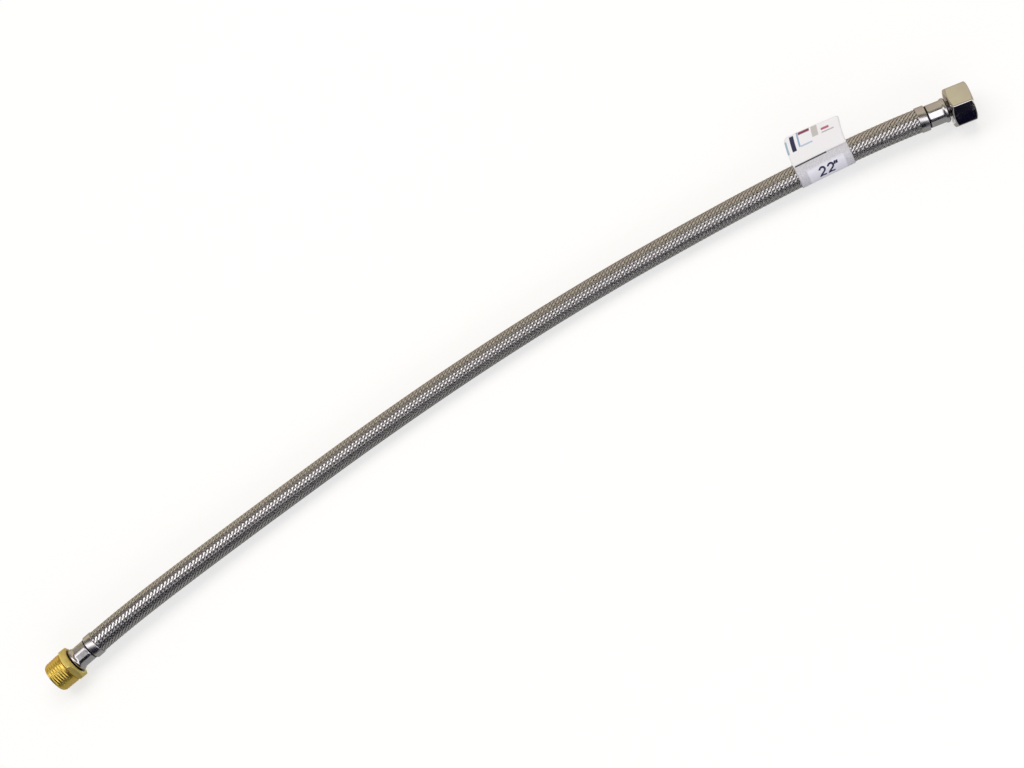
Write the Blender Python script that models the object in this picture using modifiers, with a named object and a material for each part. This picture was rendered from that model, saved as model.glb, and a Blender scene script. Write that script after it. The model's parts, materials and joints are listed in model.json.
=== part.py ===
"""Braided stainless steel water hose, 22 inches long, lying in a gentle arc on a surface.

One end carries a hexagon coupling nut that spins on a turned tail, with a rubber washer
for its seal. The other end is a brass male pipe fitting. A crimped ferrule holds each
fitting in the hose, and a folded label is stuck round the braid near the nut.

Units are metres and +Z is up. Each end has a frame of its own: its origin lies on the
hose's axis at the rear edge of the ferrule, its Z axis points out of the hose and its
Y axis points up. Heights along that axis are called reaches.
"""

import math

import bmesh
import bpy
import numpy as np
from mathutils import Matrix, Vector

# Whole hose
OVERALL_LENGTH = 0.5588
BEND_ANGLE = math.radians(18.2)
BEND_GROWTH = 1.66
MALE_END_BEND = math.radians(3.0)
NUT_END_BEND = math.radians(0.8)
END_BEND_LENGTH = 0.060
SETTLE_LENGTH = 0.150
POINT_SPACING = 0.025

# Hose layers
BRAID_RADIUS = 0.0062
BRAID_WALL = 0.0005
LINER_WALL = 0.0010
LAYER_GAP = 0.00025
NECK_DOWN = 0.004
HOSE_SEAT = 0.0128
NECK_TAPER = 0.0012

# Ferrules
FERRULE_LENGTH = 0.0150
FERRULE_WALL = 0.0005
BAND_LENGTH = 0.0045
BAND_RADIUS = 0.0066
BAND_EDGE = 0.0003
GROOVE_LENGTH = 0.0008
GROOVE_RADIUS = 0.00575
GROOVE_WALL = 0.0004
CRIMP_RADIUS = 0.0060
CRIMP_FLATS = 8
CRIMP_FLAT_DEPTH = 0.0002
CRIMP_TURN = math.radians(-12.0)
BEAD_LENGTH = 0.0022
BEAD_RADIUS = 0.0061
BEAD_EDGE = 0.0005
FRONT_WALL = 0.0007

# Tails: the barbed stem and neck that both fittings share
STEM_START = 0.0015
STEM_BORE = 0.0022
STEM_WALL = 0.0005
BARB_HEIGHT = 0.00025
BARB_PITCH = 0.0026
BARB_COUNT = 4
NECK_RADIUS = 0.0040
NECK_BORE = 0.0030
FIT_GAP = 0.0003

# Coupling nut and its seat
NUT_ACROSS_FLATS = 0.0200
NUT_LENGTH = 0.0115
NUT_STAND_OFF = 0.0011
NUT_BACK_WALL = 0.0020
NUT_THREAD_BORE = 0.00748
NUT_RELIEF_RADIUS = 0.0084
NUT_RELIEF_LENGTH = 0.0016
NUT_MOUTH_CHAMFER = 0.0009
FLANGE_RADIUS = 0.0070
FLANGE_LENGTH = 0.0016
WASHER_RADIUS = 0.0071
WASHER_BORE = 0.0040
WASHER_LENGTH = 0.0020

# Male fitting
COLLAR_ACROSS_FLATS = 0.0180
COLLAR_LENGTH = 0.0038
COLLAR_STAND_OFF = 0.00025
THREAD_RADIUS = 0.0087
THREAD_LENGTH = 0.0102
THREAD_TAPER = 1.0 / 32.0
THREAD_CHAMFER = 0.0007
THREAD_CHAMFER_LENGTH = 0.0012
THREAD_RELIEF = 0.0009
THREAD_RELIEF_DEPTH = 0.0010
MOUTH_BORE = 0.0044
MOUTH_BORE_DEPTH = 0.0115

# Hexagons
HEX_FACE_INSET = 0.0006
HEX_BAR_MARGIN = 0.0004
HEX_CHAMFER_ANGLE = math.radians(30.0)

# Label
LABEL_WIDTH = 0.0290
LABEL_FROM_FERRULE = 0.0362
LABEL_PLY = 0.00025
FLAG_LENGTH = 0.0146
FLAG_ROOT_ANGLE = math.radians(70.0)
FLAG_ANGLE = math.radians(22.0)
FLAG_CORNER = 0.0015

# Fineness of the round surfaces
OUTER_STEPS = 32
INNER_STEPS = 24
TUBE_BEVEL_RESOLUTION = 4
ARC_STEPS = 3
MERGE_DISTANCE = 0.00001
CUTTER_MARGIN = 0.002

# Sizes that follow from the ones above
BAND_BORE = BAND_RADIUS - FERRULE_WALL
CRIMP_BORE = CRIMP_RADIUS - CRIMP_FLAT_DEPTH - FERRULE_WALL
LIP_BORE = NECK_RADIUS + FIT_GAP
STEM_RADIUS = STEM_BORE + STEM_WALL
BARB_RADIUS = STEM_RADIUS + BARB_HEIGHT
NECK_START = HOSE_SEAT + FIT_GAP
NUT_START = FERRULE_LENGTH + NUT_STAND_OFF
NUT_REACH = NUT_START + NUT_LENGTH
FLANGE_START = NUT_START + NUT_BACK_WALL + FIT_GAP
WASHER_START = FLANGE_START + FLANGE_LENGTH + FIT_GAP
COLLAR_START = FERRULE_LENGTH + COLLAR_STAND_OFF
MALE_REACH = COLLAR_START + COLLAR_LENGTH + THREAD_LENGTH
FREE_LENGTH = OVERALL_LENGTH - NUT_REACH - MALE_REACH
LABEL_BORE = BRAID_RADIUS + FIT_GAP
LABEL_RADIUS = LABEL_BORE + LABEL_PLY

COLLECTION_NAME = "braided_hose"
CUTTER_COLLECTION_NAME = "cutters"


def clear_scene():
    for item in list(bpy.data.objects):
        bpy.data.objects.remove(item, do_unlink=True)


def make_collection(name):
    collection = bpy.data.collections.new(name)
    bpy.context.scene.collection.children.link(collection)
    return collection


def make_material(name, colour, metallic, roughness):
    material = bpy.data.materials.new(name)
    material.use_nodes = True
    shader = material.node_tree.nodes["Principled BSDF"]
    shader.inputs["Base Color"].default_value = (*colour, 1.0)
    shader.inputs["Metallic"].default_value = metallic
    shader.inputs["Roughness"].default_value = roughness
    return material


def add_part(name, data, parent, material):
    """Put a mesh or curve in the hose's collection as a named piece."""
    part = bpy.data.objects.new(name, data)
    bpy.data.collections[COLLECTION_NAME].objects.link(part)
    part.parent = parent
    data.materials.append(material)
    return part


def add_cutter(name, mesh, parent):
    """Put a mesh in the cutters' collection, drawn as wire and left out of renders."""
    cutter = bpy.data.objects.new(name, mesh)
    bpy.data.collections[CUTTER_COLLECTION_NAME].objects.link(cutter)
    cutter.parent = parent
    cutter.hide_render = True
    cutter.display_type = "WIRE"
    return cutter


def add_empty(name, parent, matrix):
    empty = bpy.data.objects.new(name, None)
    bpy.data.collections[COLLECTION_NAME].objects.link(empty)
    empty.parent = parent
    empty.matrix_local = matrix
    empty.empty_display_size = 0.02
    return empty


def rounded(corners):
    """Outline through the corners, each (radius, reach) or (radius, reach, fillet).

    A fillet's arc touches both edges at fillet / tan(half the corner's angle) from it.
    """
    outline = []
    count = len(corners)
    for index, corner in enumerate(corners):
        here = Vector(corner[:2])
        fillet = corner[2] if len(corner) == 3 else 0.0
        if fillet == 0.0:
            outline.append(tuple(here))
            continue
        back = (Vector(corners[index - 1][:2]) - here).normalized()
        ahead = (Vector(corners[(index + 1) % count][:2]) - here).normalized()
        half = back.angle(ahead) / 2.0
        centre = here + (back + ahead).normalized() * (fillet / math.sin(half))
        start = here + back * (fillet / math.tan(half)) - centre
        end = here + ahead * (fillet / math.tan(half)) - centre
        for step in range(ARC_STEPS + 1):
            swept = start.lerp(end, step / ARC_STEPS).normalized()
            outline.append(tuple(centre + swept * fillet))
    return outline


def profile_mesh(name, outline):
    """Closed loop of edges in the XZ plane, ready to be turned about Z."""
    points = [(radius, 0.0, reach) for radius, reach in outline]
    edges = [(index, (index + 1) % len(points)) for index in range(len(points))]
    mesh = bpy.data.meshes.new(name)
    mesh.from_pydata(points, edges, [])
    return mesh


def revolve(item, steps):
    screw = item.modifiers.new("Revolve", "SCREW")
    screw.angle = 2.0 * math.pi
    screw.steps = steps
    screw.render_steps = steps
    screw.use_merge_vertices = True
    screw.merge_threshold = MERGE_DISTANCE
    screw.use_smooth_shade = True


def turned_part(name, outline, steps, parent, material):
    part = add_part(name, profile_mesh(name, outline), parent, material)
    revolve(part, steps)
    return part


def cut(part, cutter, operation):
    boolean = part.modifiers.new(operation.title(), "BOOLEAN")
    boolean.operation = operation
    boolean.solver = "EXACT"
    boolean.object = cutter


def hex_cutter(name, across_flats, start, end, parent):
    """Hexagonal prism from one reach to another, with a flat facing up and one down."""
    mesh = bpy.data.meshes.new(name)
    shape = bmesh.new()
    centre = Matrix.Translation((0.0, 0.0, (start + end) / 2.0))
    turn = Matrix.Rotation(math.radians(30.0), 4, "Z")
    corner_radius = across_flats / math.sqrt(3.0)
    bmesh.ops.create_cone(
        shape,
        cap_ends=True,
        segments=6,
        radius1=corner_radius,
        radius2=corner_radius,
        depth=end - start,
        matrix=centre @ turn,
    )
    shape.to_mesh(mesh)
    shape.free()
    return add_cutter(name, mesh, parent)


def hex_blank(across_flats, start, end):
    """Outer corners of a bar turned down at both ends, from its front face to its rear."""
    face = across_flats / 2.0 - HEX_FACE_INSET
    bar = across_flats / math.sqrt(3.0) + HEX_BAR_MARGIN
    chamfer = (bar - face) * math.tan(HEX_CHAMFER_ANGLE)
    return [(face, end), (bar, end - chamfer), (bar, start + chamfer), (face, start)]


def barbed_stem():
    """Corners of the stem from its root at the neck, over the barbs and into the bore."""
    corners = [(STEM_RADIUS, NECK_START)]
    first_crest = STEM_START + BARB_COUNT * BARB_PITCH
    for barb in range(BARB_COUNT):
        crest = first_crest - barb * BARB_PITCH
        corners.append((STEM_RADIUS, crest))
        corners.append((BARB_RADIUS, crest))
    corners.append((STEM_RADIUS, STEM_START))
    corners.append((STEM_BORE, STEM_START))
    return corners


class Route:
    """Centre line of the hose between its ferrules, and straight on inside them.

    The heading falls off by BEND_ANGLE as the power BEND_GROWTH of the way along, and
    turns a little further beside each fitting. The height settles from each fitting's
    axis to the braid's own radius.
    """

    def __init__(self):
        way = np.linspace(0.0, 1.0, 801)
        self.along = way * FREE_LENGTH
        from_start = np.clip(self.along / SETTLE_LENGTH, 0.0, 1.0)
        from_end = np.clip((FREE_LENGTH - self.along) / SETTLE_LENGTH, 0.0, 1.0)
        lift_start = COLLAR_ACROSS_FLATS / 2.0 - BRAID_RADIUS
        lift_end = NUT_ACROSS_FLATS / 2.0 - BRAID_RADIUS
        self.height = (
            BRAID_RADIUS
            + lift_start * (1.0 - smooth_step(from_start))
            + lift_end * (1.0 - smooth_step(from_end))
        )
        self.climb = (
            lift_end * smooth_slope(from_end) - lift_start * smooth_slope(from_start)
        ) / SETTLE_LENGTH
        near_start = np.clip(1.0 - self.along / END_BEND_LENGTH, 0.0, 1.0)
        near_end = np.clip(1.0 - (FREE_LENGTH - self.along) / END_BEND_LENGTH, 0.0, 1.0)
        heading = (
            -BEND_ANGLE * way**BEND_GROWTH
            + MALE_END_BEND * near_start**2
            - NUT_END_BEND * near_end**2
        )
        level = np.sqrt(1.0 - self.climb**2)
        east = running_sum(level * np.cos(heading), self.along)
        north = running_sum(level * np.sin(heading), self.along)
        chord_x = (
            east[-1] + MALE_REACH * math.cos(heading[0]) + NUT_REACH * math.cos(heading[-1])
        )
        chord_y = (
            north[-1] + MALE_REACH * math.sin(heading[0]) + NUT_REACH * math.sin(heading[-1])
        )
        turn = -math.atan2(chord_y, chord_x)
        self.heading = heading + turn
        self.x = east * math.cos(turn) - north * math.sin(turn)
        self.y = east * math.sin(turn) + north * math.cos(turn)

    def point(self, along):
        """Place on the centre line, measured from the male end's ferrule."""
        inside = min(max(along, 0.0), FREE_LENGTH)
        beyond = along - inside
        heading = self.heading_at(inside)
        return Vector((
            np.interp(inside, self.along, self.x) + beyond * math.cos(heading),
            np.interp(inside, self.along, self.y) + beyond * math.sin(heading),
            np.interp(inside, self.along, self.height),
        ))

    def heading_at(self, along):
        return float(np.interp(along, self.along, self.heading))

    def frame(self, along, outward):
        """Matrix with Z along the hose, Y up and its origin on the centre line."""
        heading = self.heading_at(along)
        climb = float(np.interp(along, self.along, self.climb))
        level = math.sqrt(1.0 - climb**2)
        forward = Vector((math.cos(heading) * level, math.sin(heading) * level, climb))
        axis = forward * outward
        side = Vector((0.0, 0.0, 1.0)).cross(axis).normalized()
        turn = Matrix((side, axis.cross(side), axis)).transposed().to_4x4()
        return Matrix.Translation(self.point(along)) @ turn


def smooth_step(share):
    """Rise from 0 to 1 that starts and ends level."""
    return share * share * (3.0 - 2.0 * share)


def smooth_slope(share):
    """Slope of that rise, which is 0 at both ends."""
    return 6.0 * share * (1.0 - share)


def running_sum(rate, along):
    """Running total of a rate along the line, by the trapezium rule."""
    pieces = (rate[1:] + rate[:-1]) / 2.0 * np.diff(along)
    return np.concatenate(([0.0], np.cumsum(pieces)))


def layer_stations(inset):
    """Places along the hose and the squeeze there: 0 free, 1 in the band, 2 in the crimp.

    Each layer tapers one gap before the one round it does, so an inner layer has an inset.
    """
    taper_end = BAND_LENGTH - GROOVE_WALL - LAYER_GAP - inset
    taper_start = taper_end - NECK_TAPER
    ends = [(HOSE_SEAT, 2), (taper_end, 2), (taper_start, 1), (0.0, 1), (-NECK_DOWN, 0)]
    count = round((FREE_LENGTH - 2.0 * NECK_DOWN) / POINT_SPACING)
    free = np.linspace(NECK_DOWN, FREE_LENGTH - NECK_DOWN, count + 1)[1:-1]
    stations = [(-reach, squeeze) for reach, squeeze in ends]
    stations += [(along, 0) for along in free]
    stations += [(FREE_LENGTH + reach, squeeze) for reach, squeeze in reversed(ends)]
    return stations


def hose_layer(name, radii, wall, inset, route, parent, material):
    """Open tube along the route, with its wall grown inwards.

    radii gives the outer radius where the hose is free, in the band and in the crimp.
    """
    curve = bpy.data.curves.new(name, "CURVE")
    curve.dimensions = "3D"
    curve.twist_mode = "Z_UP"
    curve.bevel_depth = radii[0]
    curve.bevel_resolution = TUBE_BEVEL_RESOLUTION
    stations = layer_stations(inset)
    spline = curve.splines.new("POLY")
    spline.points.add(len(stations) - 1)
    for point, (along, squeeze) in zip(spline.points, stations):
        point.co = (*route.point(along), 1.0)
        point.radius = radii[squeeze] / radii[0]
    guide = bpy.data.objects.new(name + "_guide", curve)
    bpy.data.collections[CUTTER_COLLECTION_NAME].objects.link(guide)
    bpy.context.view_layer.update()
    evaluated = guide.evaluated_get(bpy.context.evaluated_depsgraph_get())
    mesh = bpy.data.meshes.new_from_object(evaluated)
    mesh.shade_smooth()
    bpy.data.objects.remove(guide, do_unlink=True)
    part = add_part(name, mesh, parent, material)
    shell = part.modifiers.new("Wall", "SOLIDIFY")
    shell.thickness = wall
    shell.offset = -1.0
    shell.use_even_offset = True
    return part


def braid_sleeve(route, parent):
    radii = (BRAID_RADIUS, BAND_BORE - LAYER_GAP, CRIMP_BORE - LAYER_GAP)
    steel = make_material("braid_wire", (0.55, 0.54, 0.52), 1.0, 0.3)
    return hose_layer("braid_sleeve", radii, BRAID_WALL, 0.0, route, parent, steel)


def inner_tube(route, parent):
    """Rubber liner, one gap inside the braid all the way."""
    inside = BRAID_WALL + LAYER_GAP
    radii = (
        BRAID_RADIUS - inside,
        BAND_BORE - LAYER_GAP - inside,
        CRIMP_BORE - LAYER_GAP - inside,
    )
    rubber = make_material("liner_rubber", (0.02, 0.02, 0.02), 0.0, 0.6)
    return hose_layer("inner_tube", radii, LINER_WALL, LAYER_GAP, route, parent, rubber)


def ferrule_outline():
    """Front lip round the neck, bead, crimp, groove and the rear band over the braid."""
    crimp_end = FERRULE_LENGTH - BEAD_LENGTH
    groove_end = BAND_LENGTH + GROOVE_LENGTH
    taper_end = BAND_LENGTH - GROOVE_WALL
    taper_start = taper_end - NECK_TAPER
    return rounded([
        (LIP_BORE, FERRULE_LENGTH),
        (BEAD_RADIUS, FERRULE_LENGTH, BEAD_EDGE),
        (BEAD_RADIUS, crimp_end, BAND_EDGE),
        (CRIMP_RADIUS, crimp_end - BAND_EDGE),
        (CRIMP_RADIUS, groove_end),
        (GROOVE_RADIUS, groove_end),
        (GROOVE_RADIUS, BAND_LENGTH),
        (BAND_RADIUS, BAND_LENGTH, BAND_EDGE),
        (BAND_RADIUS, 0.0, BAND_EDGE),
        (BAND_BORE, 0.0),
        (BAND_BORE, taper_start),
        (CRIMP_BORE, taper_end),
        (CRIMP_BORE, FERRULE_LENGTH - FRONT_WALL),
        (LIP_BORE, FERRULE_LENGTH - FRONT_WALL),
    ])


def crimp_cutter(name, parent):
    """Eight-sided ring whose inner faces press the flats into the crimp."""
    to_corner = 1.0 / math.cos(math.pi / CRIMP_FLATS)
    flat = (CRIMP_RADIUS - CRIMP_FLAT_DEPTH) * to_corner
    clear = (BAND_RADIUS + CUTTER_MARGIN) * to_corner
    start = BAND_LENGTH + GROOVE_LENGTH
    end = FERRULE_LENGTH - BEAD_LENGTH
    outline = [
        (clear, end),
        (clear, start),
        (flat, start),
        (flat, end - CRIMP_FLAT_DEPTH),
    ]
    cutter = add_cutter(name, profile_mesh(name, outline), parent)
    cutter.rotation_euler = (0.0, 0.0, CRIMP_TURN)
    revolve(cutter, CRIMP_FLATS)
    return cutter


def ferrule(name, parent):
    steel = make_material(name + "_steel", (0.60, 0.59, 0.57), 1.0, 0.18)
    part = turned_part(name, ferrule_outline(), OUTER_STEPS, parent, steel)
    cut(part, crimp_cutter(name + "_crimp", parent), "DIFFERENCE")
    return part


def swivel_tail(parent):
    """Barbed stem, neck through the nut and the flange that holds the nut on."""
    face = FLANGE_START + FLANGE_LENGTH
    outline = rounded([
        (NECK_BORE, face),
        (FLANGE_RADIUS, face, BAND_EDGE),
        (FLANGE_RADIUS, FLANGE_START, BAND_EDGE),
        (NECK_RADIUS, FLANGE_START),
        (NECK_RADIUS, NECK_START),
        *barbed_stem(),
        (STEM_BORE, HOSE_SEAT),
        (NECK_BORE, FERRULE_LENGTH),
    ])
    brass = make_material("tail_brass", (0.72, 0.53, 0.20), 1.0, 0.3)
    return turned_part("swivel_tail", outline, INNER_STEPS, parent, brass)


def nut_washer(parent):
    front = WASHER_START + WASHER_LENGTH
    outline = [
        (WASHER_BORE, front),
        (WASHER_RADIUS, front),
        (WASHER_RADIUS, WASHER_START),
        (WASHER_BORE, WASHER_START),
    ]
    rubber = make_material("washer_rubber", (0.03, 0.03, 0.03), 0.0, 0.7)
    return turned_part("nut_washer", outline, INNER_STEPS, parent, rubber)


def coupling_nut(parent):
    """Hexagon nut: back wall with the neck's hole, thread relief, bore and mouth."""
    socket = NUT_START + NUT_BACK_WALL
    relief_end = socket + NUT_RELIEF_LENGTH
    taper_end = relief_end + NUT_RELIEF_RADIUS - NUT_THREAD_BORE
    outline = hex_blank(NUT_ACROSS_FLATS, NUT_START, NUT_REACH) + [
        (LIP_BORE, NUT_START),
        (LIP_BORE, socket),
        (NUT_RELIEF_RADIUS, socket),
        (NUT_RELIEF_RADIUS, relief_end),
        (NUT_THREAD_BORE, taper_end),
        (NUT_THREAD_BORE, NUT_REACH - NUT_MOUTH_CHAMFER),
        (NUT_THREAD_BORE + NUT_MOUTH_CHAMFER, NUT_REACH),
    ]
    chrome = make_material("nut_plating", (0.62, 0.60, 0.55), 1.0, 0.12)
    part = turned_part("coupling_nut", outline, OUTER_STEPS, parent, chrome)
    start = NUT_START - CUTTER_MARGIN
    end = NUT_REACH + CUTTER_MARGIN
    cut(part, hex_cutter("nut_hexagon", NUT_ACROSS_FLATS, start, end, parent), "INTERSECT")
    return part


def male_fitting(parent):
    """Brass fitting: thread, hexagon collar, neck and barbed stem, bored through."""
    front = COLLAR_START + COLLAR_LENGTH
    relief_radius = THREAD_RADIUS - THREAD_RELIEF_DEPTH
    threaded = THREAD_LENGTH - THREAD_RELIEF - THREAD_CHAMFER_LENGTH
    thread_tip = THREAD_RADIUS - threaded * THREAD_TAPER
    bore_end = MALE_REACH - MOUTH_BORE_DEPTH
    outline = [
        (MOUTH_BORE, MALE_REACH),
        (thread_tip - THREAD_CHAMFER, MALE_REACH),
        (thread_tip, MALE_REACH - THREAD_CHAMFER_LENGTH),
        (THREAD_RADIUS, front + THREAD_RELIEF),
        (relief_radius, front + THREAD_RELIEF),
        (relief_radius, front),
        *hex_blank(COLLAR_ACROSS_FLATS, COLLAR_START, front),
        (NECK_RADIUS, COLLAR_START),
        (NECK_RADIUS, NECK_START),
        *barbed_stem(),
        (STEM_BORE, bore_end - (MOUTH_BORE - STEM_BORE)),
        (MOUTH_BORE, bore_end),
    ]
    brass = make_material("fitting_brass", (0.80, 0.58, 0.18), 1.0, 0.22)
    part = turned_part("male_fitting", outline, OUTER_STEPS, parent, brass)
    end = MALE_REACH + CUTTER_MARGIN
    cut(part, hex_cutter("collar_hexagon", COLLAR_ACROSS_FLATS, 0.0, end, parent), "INTERSECT")
    return part


def flag_cutter(parent):
    """Two stuck plies as a flat plate, rounded at its two outer corners.

    The plate leaves the loop at FLAG_ROOT_ANGLE and stands out at FLAG_ANGLE, both
    measured from level on the outer side of the hose's bend.
    """
    mesh = bpy.data.meshes.new("label_flag")
    shape = bmesh.new()
    bmesh.ops.create_cube(shape, size=1.0)
    bmesh.ops.scale(shape, vec=(FLAG_LENGTH, 2.0 * LABEL_PLY, LABEL_WIDTH), verts=shape.verts)
    bmesh.ops.translate(shape, vec=(FLAG_LENGTH / 2.0, 0.0, 0.0), verts=shape.verts)
    outer = [
        edge for edge in shape.edges
        if all(vertex.co.x > FLAG_LENGTH / 2.0 for vertex in edge.verts)
        and abs(edge.verts[0].co.z - edge.verts[1].co.z) < MERGE_DISTANCE
    ]
    bmesh.ops.bevel(
        shape,
        geom=outer,
        offset=FLAG_CORNER,
        offset_type="OFFSET",
        segments=ARC_STEPS + 1,
        profile=0.5,
        affect="EDGES",
    )
    shape.to_mesh(mesh)
    shape.free()
    plate = add_cutter("label_flag", mesh, parent)
    middle = LABEL_BORE + LABEL_PLY / 2.0
    root = Vector((math.cos(FLAG_ROOT_ANGLE), math.sin(FLAG_ROOT_ANGLE), 0.0)) * middle
    plate.matrix_local = Matrix.Translation(root) @ Matrix.Rotation(FLAG_ANGLE, 4, "Z")
    return plate


def size_label(parent):
    """One sheet: a loop round the braid whose two ends are stuck together as a flag."""
    half = LABEL_WIDTH / 2.0
    outline = [
        (LABEL_RADIUS, half),
        (LABEL_RADIUS, -half),
        (LABEL_BORE, -half),
        (LABEL_BORE, half),
    ]
    paper = make_material("label_sheet", (0.85, 0.84, 0.88), 0.0, 0.45)
    part = turned_part("size_label", outline, OUTER_STEPS, parent, paper)
    cut(part, flag_cutter(parent), "UNION")
    return part


def stand_on_origin(root):
    """Move the whole hose so that its box stands centred on the origin."""
    bpy.context.view_layer.update()
    graph = bpy.context.evaluated_depsgraph_get()
    corners = []
    for part in bpy.data.collections[COLLECTION_NAME].objects:
        if part.type == "MESH":
            evaluated = part.evaluated_get(graph)
            corners += [evaluated.matrix_world @ vertex.co for vertex in evaluated.data.vertices]
    low = Vector([min(corner[axis] for corner in corners) for axis in range(3)])
    high = Vector([max(corner[axis] for corner in corners) for axis in range(3)])
    root.location -= Vector(((low.x + high.x) / 2.0, (low.y + high.y) / 2.0, low.z))
    bpy.context.view_layer.update()


def build():
    clear_scene()
    make_collection(COLLECTION_NAME)
    make_collection(CUTTER_COLLECTION_NAME)
    route = Route()
    root = add_empty("hose", None, Matrix.Identity(4))
    male_end = add_empty("male_end", root, route.frame(0.0, -1.0))
    nut_end = add_empty("nut_end", root, route.frame(FREE_LENGTH, 1.0))
    label_along = FREE_LENGTH - LABEL_FROM_FERRULE - LABEL_WIDTH / 2.0
    label_place = add_empty("label_place", root, route.frame(label_along, 1.0))
    inner_tube(route, root)
    braid_sleeve(route, root)
    ferrule("ferrule_male_end", male_end)
    ferrule("ferrule_nut_end", nut_end)
    male_fitting(male_end)
    swivel_tail(nut_end)
    nut_washer(nut_end)
    coupling_nut(nut_end)
    size_label(label_place)
    stand_on_origin(root)


build()
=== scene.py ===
"""Looks of the braided stainless steel water hose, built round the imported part.

The hose lies on a pale floor. Its braid is woven from flattened wire strands, the
fittings are turned and milled surfaces with their threads, and a printed label is
folded round it. Lengths are metres, angles are radians and +Z is up.
"""

import json
import math

import bpy
import numpy as np
from mathutils import Matrix

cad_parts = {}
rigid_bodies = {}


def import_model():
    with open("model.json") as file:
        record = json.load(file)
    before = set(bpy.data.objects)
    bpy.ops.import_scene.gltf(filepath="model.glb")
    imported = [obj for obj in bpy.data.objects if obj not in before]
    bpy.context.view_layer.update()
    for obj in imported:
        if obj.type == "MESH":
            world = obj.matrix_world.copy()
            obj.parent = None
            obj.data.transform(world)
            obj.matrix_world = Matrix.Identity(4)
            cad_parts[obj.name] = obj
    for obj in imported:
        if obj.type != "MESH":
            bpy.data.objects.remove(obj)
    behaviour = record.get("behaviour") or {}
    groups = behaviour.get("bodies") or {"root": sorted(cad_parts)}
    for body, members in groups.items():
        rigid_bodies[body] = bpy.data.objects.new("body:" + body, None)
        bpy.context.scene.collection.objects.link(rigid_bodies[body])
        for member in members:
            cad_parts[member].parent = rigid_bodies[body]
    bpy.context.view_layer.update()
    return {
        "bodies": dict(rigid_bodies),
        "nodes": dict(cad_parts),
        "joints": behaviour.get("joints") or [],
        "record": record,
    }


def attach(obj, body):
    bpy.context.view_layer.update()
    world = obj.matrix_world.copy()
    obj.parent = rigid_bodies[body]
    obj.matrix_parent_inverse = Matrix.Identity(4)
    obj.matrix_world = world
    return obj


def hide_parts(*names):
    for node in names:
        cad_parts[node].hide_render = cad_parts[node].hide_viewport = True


# Whole hose, as in the part
OVERALL_LENGTH = 0.5588
BEND_ANGLE = math.radians(18.2)
BEND_GROWTH = 1.66
MALE_END_BEND = math.radians(3.0)
NUT_END_BEND = math.radians(0.8)
END_BEND_LENGTH = 0.060
SETTLE_LENGTH = 0.150
BRAID_RADIUS = 0.0062

# Ferrules, as in the part, but with a fuller bead and other turns of the flats
FERRULE_LENGTH = 0.0150
FERRULE_WALL = 0.0005
BAND_LENGTH = 0.0045
BAND_RADIUS = 0.0066
BAND_EDGE = 0.0003
BAND_TAPER_START = 0.0016
BAND_TAPER_END = 0.0004
GROOVE_LENGTH = 0.0008
GROOVE_RADIUS = 0.00575
CRIMP_RADIUS = 0.0060
CRIMP_BORE = 0.0053
CRIMP_FLATS = 8
CRIMP_FLAT_DEPTH = 0.0002
CRIMP_FADE = 0.0006
CRIMP_END_SHARE = 0.3
CRIMP_ROWS = 14
BEAD_LENGTH = 0.0022
BEAD_RADIUS = 0.0064
BEAD_EDGE = 0.0007
BEAD_SHOULDER = 0.0006
FRONT_WALL = 0.0007
GROOVE_MIDDLE = BAND_LENGTH + GROOVE_LENGTH / 2.0
MALE_CRIMP_TURN = math.radians(60.0)
NUT_CRIMP_TURN = math.radians(122.0)

# Tails and coupling nut, as in the part, but with plain stems, and the nut's thread
HOSE_SEAT = 0.0128
STEM_LENGTH = 0.0100
STEM_BORE = 0.0022
STEM_RADIUS = 0.0027
NECK_RADIUS = 0.0040
NECK_BORE = 0.0030
FIT_GAP = 0.0003
STEM_OUTLINE = (
    (NECK_RADIUS, HOSE_SEAT + FIT_GAP),
    (STEM_RADIUS, HOSE_SEAT + FIT_GAP),
    (STEM_RADIUS, HOSE_SEAT - STEM_LENGTH),
    (STEM_BORE, HOSE_SEAT - STEM_LENGTH),
)
NUT_ACROSS_FLATS = 0.0200
NUT_LENGTH = 0.0115
NUT_START = FERRULE_LENGTH + 0.0011
NUT_BACK_WALL = 0.0020
NUT_THREAD_BORE = 0.00748
NUT_RELIEF_RADIUS = 0.0084
NUT_RELIEF_LENGTH = 0.0016
NUT_MOUTH_CHAMFER = 0.0009
NUT_THREAD_PITCH = 0.00134
NUT_THREAD_DEPTH = 0.00075
NUT_REACH = NUT_START + NUT_LENGTH
FLANGE_RADIUS = 0.0070
FLANGE_LENGTH = 0.0016
FLANGE_EDGE = 0.0002
FLANGE_START = NUT_START + NUT_BACK_WALL + FIT_GAP
WASHER_START = FLANGE_START + FLANGE_LENGTH + FIT_GAP
WASHER_LENGTH = 0.0020
WASHER_RADIUS = 0.0071
WASHER_BORE = 0.0040
WASHER_EDGE = 0.0003

# Male fitting, as in the part, with its thread and the edges of both hexagons
COLLAR_ACROSS_FLATS = 0.0180
COLLAR_LENGTH = 0.0038
COLLAR_START = FERRULE_LENGTH + 0.00025
THREAD_RADIUS = 0.0087
THREAD_LENGTH = 0.0102
THREAD_TAPER = 1.0 / 32.0
THREAD_CHAMFER = 0.0007
THREAD_CHAMFER_LENGTH = 0.0012
THREAD_RELIEF = 0.0009
THREAD_RELIEF_DEPTH = 0.0010
THREAD_PITCH = 0.00141
THREAD_DEPTH = 0.00020
THREAD_FLAT = 0.15
THREAD_RUN_OUT = 0.0004
MALE_REACH = COLLAR_START + COLLAR_LENGTH + THREAD_LENGTH
MOUTH_BORE = 0.0044
MOUTH_BORE_DEPTH = 0.0115
MOUTH_EDGE = 0.0004
HEX_FACE_INSET = 0.0006
HEX_CHAMFER_ANGLE = math.radians(30.0)
HEX_CORNER_ROUND = 0.0009
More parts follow.
